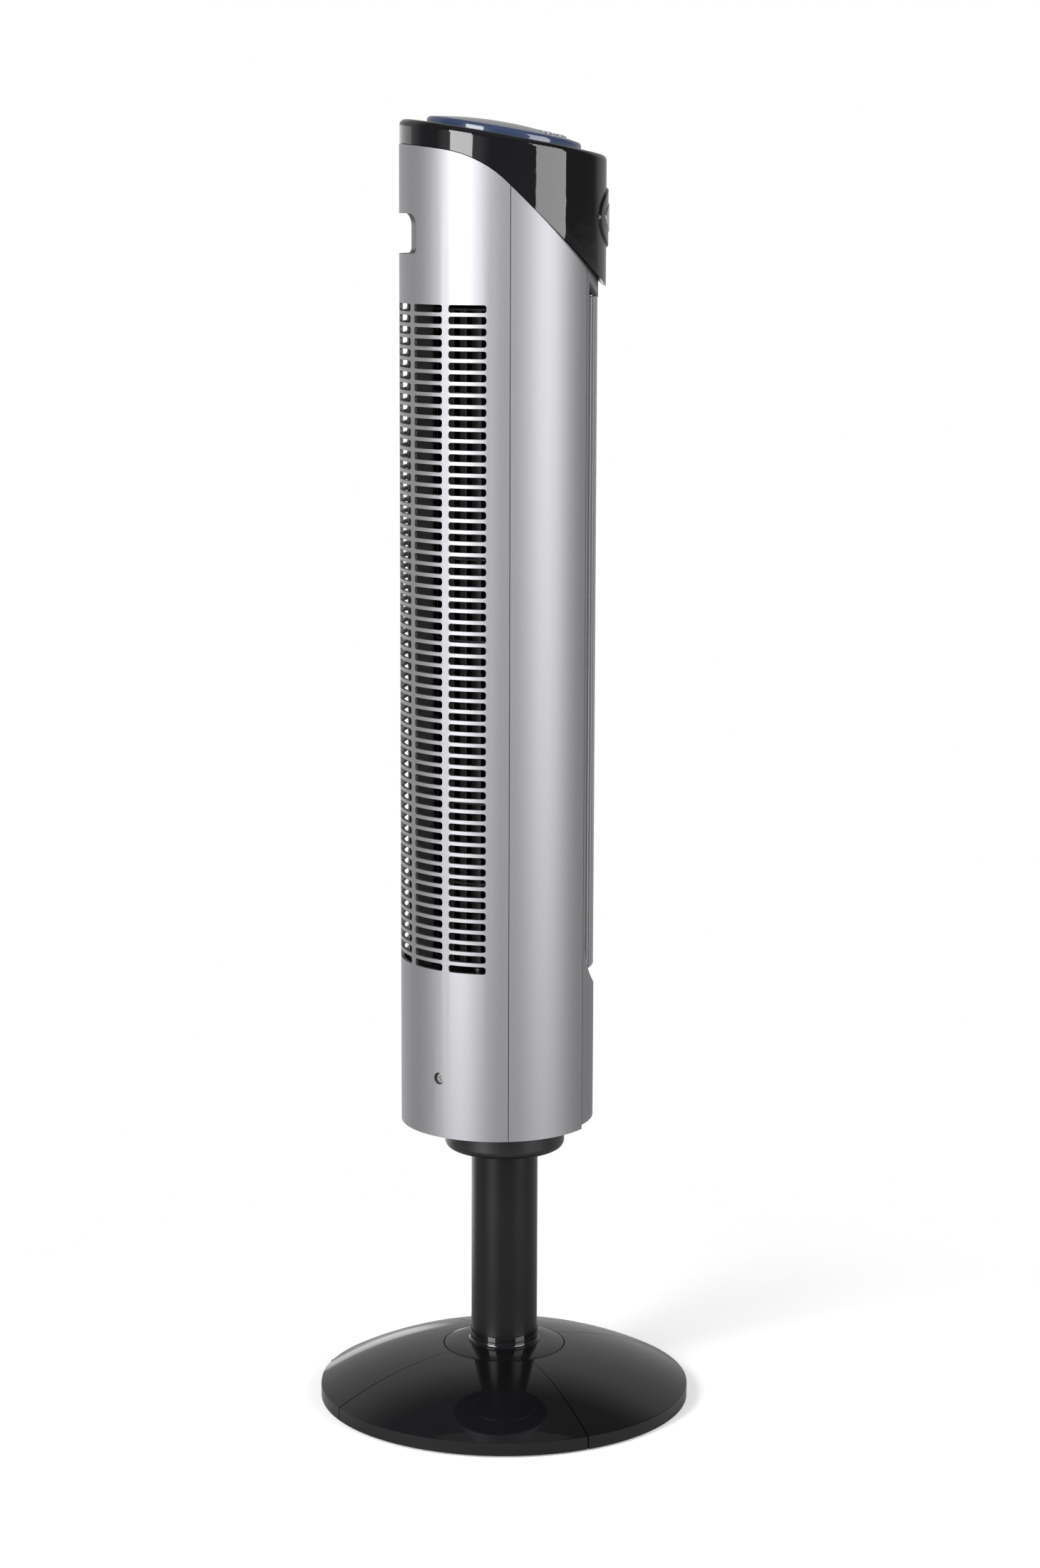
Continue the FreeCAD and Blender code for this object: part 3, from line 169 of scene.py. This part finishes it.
def noise(tree, where, scale, detail, stretch):
    mapping = tree.nodes.new("ShaderNodeMapping")
    mapping.inputs["Scale"].default_value = stretch
    tree.links.new(where, mapping.inputs["Vector"])
    texture = tree.nodes.new("ShaderNodeTexNoise")
    texture.inputs["Scale"].default_value = scale
    texture.inputs["Detail"].default_value = detail
    tree.links.new(mapping.outputs["Vector"], texture.inputs["Vector"])
    return texture.outputs["Fac"]


def surface(name, dark, light, scale, rough, bump, bump_scale, stretch=(1, 1, 1), **sockets):
    """A material whose colour and roughness drift with a soft noise, over a fine bump."""
    made = bpy.data.materials.new(name)
    made.use_nodes = True
    tree = made.node_tree
    shader = tree.nodes["Principled BSDF"]
    where = tree.nodes.new("ShaderNodeTexCoord").outputs["Object"]
    drift = noise(tree, where, scale, DRIFT_DETAIL, stretch)
    tree.links.new(ramp_mix(tree, spread(tree, drift, 0, 1), dark, light), shader.inputs["Base Color"])
    tree.links.new(spread(tree, drift, *rough), shader.inputs["Roughness"])
    grain = tree.nodes.new("ShaderNodeBump")
    grain.inputs["Strength"].default_value = bump
    grain.inputs["Distance"].default_value = BUMP_HEIGHT
    tree.links.new(noise(tree, where, bump_scale, BUMP_DETAIL, stretch), grain.inputs["Height"])
    tree.links.new(grain.outputs["Normal"], shader.inputs["Normal"])
    for socket, value in sockets.items():
        shader.inputs[socket.replace("_", " ")].default_value = value
    return made


# ---------------------------------------------------------------- surroundings and floor

def wall(tree, spot, height, turn, edge, top, brightness):
    """A bright patch of the surroundings, as bright as stated in its middle."""
    angle = math.radians(turn)
    dot = tree.nodes.new("ShaderNodeVectorMath")
    dot.operation = "DOT_PRODUCT"
    dot.inputs[1].default_value = RIGHT * math.sin(angle) - TOWARDS * math.cos(angle)
    tree.links.new(spot, dot.inputs[0])
    across = smooth(tree, dot.outputs["Value"], *edge, 0.0, brightness)
    return combine(tree, "MULTIPLY", across, smooth(tree, height, *top, 1.0, 0.0))


def make_world():
    """Surroundings that the camera sees as plain white, and reflections as dull with walls of light."""
    world = bpy.data.worlds.new("studio")
    bpy.context.scene.world = world
    world.use_nodes = True
    tree = world.node_tree
    tree.nodes.clear()
    spot = tree.nodes.new("ShaderNodeTexCoord").outputs["Generated"]
    split = tree.nodes.new("ShaderNodeSeparateXYZ")
    tree.links.new(spot, split.inputs["Vector"])
    height = split.outputs["Z"]
    level = smooth(tree, height, *HORIZON, BELOW, DULL)
    for patch in WALLS:
        level = combine(tree, "MAXIMUM", level, wall(tree, spot, height, **patch))
    seen = tree.nodes.new("ShaderNodeLightPath").outputs["Is Camera Ray"]
    level = combine(tree, "MAXIMUM", level, seen)
    back = tree.nodes.new("ShaderNodeBackground")
    back.inputs["Color"].default_value = (1, 1, 1, 1)
    tree.links.new(level, back.inputs["Strength"])
    out = tree.nodes.new("ShaderNodeOutputWorld")
    tree.links.new(back.outputs["Background"], out.inputs["Surface"])


def floor_material():
    """White paper that fades away into the surroundings, and is greyer in reflections."""
    paper = surface("floor_paper", dark=FLOOR_IN_REFLECTIONS, light=FLOOR_WHITE, scale=3.0, rough=(0.7, 0.8),
                    bump=0.02, bump_scale=400, Specular_IOR_Level=0.1)
    tree = paper.node_tree
    shader = tree.nodes["Principled BSDF"]
    seen = tree.nodes.new("ShaderNodeLightPath").outputs["Is Camera Ray"]
    mix = shader.inputs["Base Color"].links[0].from_node
    tree.links.new(seen, mix.inputs[MIX_FACTOR])
    shader.inputs["Emission Color"].default_value = (1, 1, 1, 1)
    tree.links.new(smooth(tree, seen, 0, 1, 0, FLOOR_GLOW), shader.inputs["Emission Strength"])
    where = tree.nodes.new("ShaderNodeTexCoord").outputs["Object"]
    distance = tree.nodes.new("ShaderNodeVectorMath")
    distance.operation = "LENGTH"
    tree.links.new(where, distance.inputs[0])
    tree.links.new(smooth(tree, distance.outputs["Value"], *FLOOR_FADE, 1.0, 0.0), shader.inputs["Alpha"])
    return paper


def make_floor():
    mesh = bpy.data.meshes.new("floor")
    corners = [(x * FLOOR_SIDE, y * FLOOR_SIDE, 0) for x, y in ((-1, -1), (1, -1), (1, 1), (-1, 1))]
    mesh.from_pydata(corners, [], [(0, 1, 2, 3)])
    floor = bpy.data.objects.new("floor", mesh)
    bpy.context.scene.collection.objects.link(floor)
    mesh.materials.append(floor_material())


# ---------------------------------------------------------------- materials

def paint(material, *names):
    """Gives CAD nodes a material in place of their plain one."""
    for name in names:
        node = NODES[name]
        node.data.materials.clear()
        node.data.materials.append(material)


def paint_stand_and_cap():
    """The black outside: glossy base and cap, satin pole and collar."""
    gloss = surface("black_gloss", dark=(0.0035, 0.0035, 0.004), light=(0.006, 0.006, 0.007), scale=9,
                    rough=(0.03, 0.06), bump=0.012, bump_scale=900, Specular_IOR_Level=0.38)
    quarters = ["base_quarter_%d" % number for number in (1, 2, 3, 4)]
    paint(gloss, *quarters, "base_centre_disc", "top_cap", "pole_foot_ring", "badge_ring")
    enamel = surface("pole_enamel", dark=(0.003, 0.003, 0.003), light=(0.0045, 0.0045, 0.0045), scale=14,
                     rough=(0.24, 0.30), bump=0.05, bump_scale=1500, Specular_IOR_Level=0.28)
    paint(enamel, "pole")
    satin = surface("black_satin", dark=(0.006, 0.006, 0.007), light=(0.010, 0.009, 0.010), scale=20,
                    rough=(0.30, 0.40), bump=0.08, bump_scale=1400, Specular_IOR_Level=0.35)
    paint(satin, "swivel_collar", "cord_gland")


def paint_silver():
    """The silver outside, with a fine metallic fleck."""
    silver = surface("silver_paint", dark=(0.222, 0.222, 0.232), light=(0.248, 0.248, 0.259), scale=1800,
                     rough=(0.50, 0.57), bump=0.06, bump_scale=2600, Metallic=0.92)
    paint(silver, "rear_shell", "front_shell", "front_panel", "handle_pocket")
    louvres = surface("louvre_silver", dark=(0.38, 0.38, 0.39), light=(0.43, 0.43, 0.44), scale=1800,
                      rough=(0.45, 0.52), bump=0.06, bump_scale=2600, Metallic=0.55)
    paint(louvres, "outlet_grille")


def paint_metals():
    """Ballast, fasteners, motors and shafts."""
    plate = surface("rough_steel", dark=(0.16, 0.16, 0.165), light=(0.24, 0.24, 0.245), scale=60,
                    rough=(0.45, 0.6), bump=0.2, bump_scale=700, Metallic=1.0)
    paint(plate, "base_ballast", "motor_rotor")
    zinc = surface("zinc", dark=(0.36, 0.36, 0.35), light=(0.48, 0.48, 0.47), scale=260,
                   rough=(0.26, 0.4), bump=0.1, bump_scale=1500, Metallic=1.0)
    paint(zinc, "base_screws", "pole_bolts", "shell_screws", "motor_screws", "swing_motor_screws",
          "motor_case", "swing_motor")
    ground = surface("ground_steel", dark=(0.62, 0.62, 0.63), light=(0.72, 0.72, 0.73), scale=40,
                     rough=(0.12, 0.22), bump=0.08, bump_scale=900, stretch=(1, 1, 30), Metallic=1.0)
    paint(ground, "drive_shaft", "top_shaft")
    copper = surface("winding_copper", dark=(0.42, 0.14, 0.05), light=(0.6, 0.24, 0.1), scale=90,
                     rough=(0.25, 0.4), bump=0.5, bump_scale=500, stretch=(1, 1, 6), Metallic=1.0)
    paint(copper, "motor_stator")
    bronze = surface("sintered_bronze", dark=(0.32, 0.19, 0.08), light=(0.45, 0.28, 0.13), scale=500,
                     rough=(0.35, 0.5), bump=0.3, bump_scale=2000, Metallic=1.0)
    paint(bronze, "top_bush")


def paint_inside():
    """Moulded black, nylon and rubber pieces inside the tower and the base."""
    inner = surface("inner_black", dark=(0.006, 0.006, 0.006), light=(0.010, 0.010, 0.010), scale=40,
                    rough=(0.45, 0.6), bump=0.15, bump_scale=1200, Specular_IOR_Level=0.25)
    paint(inner, "base_bottom_plate", "tower_floor", "lower_bulkhead", "upper_bulkhead", "scroll_wall",
          "vortex_tongue", "wiring_duct", "swing_bracket", "spindle_hub", "retaining_ring")
    blades = surface("impeller_black", dark=(0.005, 0.005, 0.005), light=(0.009, 0.008, 0.008), scale=30,
                     rough=(0.45, 0.55), bump=0.1, bump_scale=1000, Specular_IOR_Level=0.15)
    paint(blades, "impeller")
    nylon = surface("natural_nylon", dark=(0.68, 0.66, 0.60), light=(0.78, 0.76, 0.71), scale=50,
                    rough=(0.35, 0.45), bump=0.08, bump_scale=1200, Subsurface_Weight=0.1)
    paint(nylon, "fixed_gear", "drive_pinion", "thrust_washer")
    rubber = surface("rubber", dark=(0.012, 0.012, 0.012), light=(0.022, 0.022, 0.022), scale=120,
                     rough=(0.6, 0.75), bump=0.3, bump_scale=1600)
    paint(rubber, "rubber_feet", "motor_mounts", "bearing_holder")


def paint_controls():
    """The lens, what lies under it, the keys and the badge's plate."""
    lens = surface("blue_lens", dark=(0.055, 0.080, 0.165), light=(0.065, 0.095, 0.190), scale=6,
                   rough=(0.07, 0.10), bump=0.004, bump_scale=600, Transmission_Weight=0.55, IOR=1.49)
    paint(lens, "top_lens")
    face = surface("display_plate", dark=(0.006, 0.008, 0.014), light=(0.010, 0.013, 0.022), scale=30,
                   rough=(0.12, 0.2), bump=0.02, bump_scale=900)
    paint(face, "display_face")
    window = surface("display_window", dark=(0.02, 0.10, 0.30), light=(0.03, 0.14, 0.38), scale=30,
                     rough=(0.08, 0.16), bump=0.02, bump_scale=900)
    paint(window, "display_window")
    board = surface("solder_mask", dark=(0.010, 0.07, 0.03), light=(0.018, 0.11, 0.045), scale=70,
                    rough=(0.3, 0.45), bump=0.2, bump_scale=800)
    paint(board, "control_board")
    badge = surface("badge_metal", dark=(0.5, 0.5, 0.52), light=(0.62, 0.62, 0.64), scale=300,
                    rough=(0.2, 0.3), bump=0.05, bump_scale=1500, Metallic=1.0)
    paint(badge, "badge_disc")
    keys = surface("button_silver", dark=(0.20, 0.205, 0.22), light=(0.25, 0.255, 0.27), scale=700,
                   rough=(0.45, 0.55), bump=0.05, bump_scale=2000, Metallic=0.6)
    paint(keys, "power_button", "speed_button", "swing_button", "timer_button", "mode_button")


make_camera()
make_world()
bpy.context.scene.view_settings.view_transform = "Standard"
make_lamps()
make_floor()
paint_stand_and_cap()
paint_silver()
paint_metals()
paint_inside()
paint_controls()
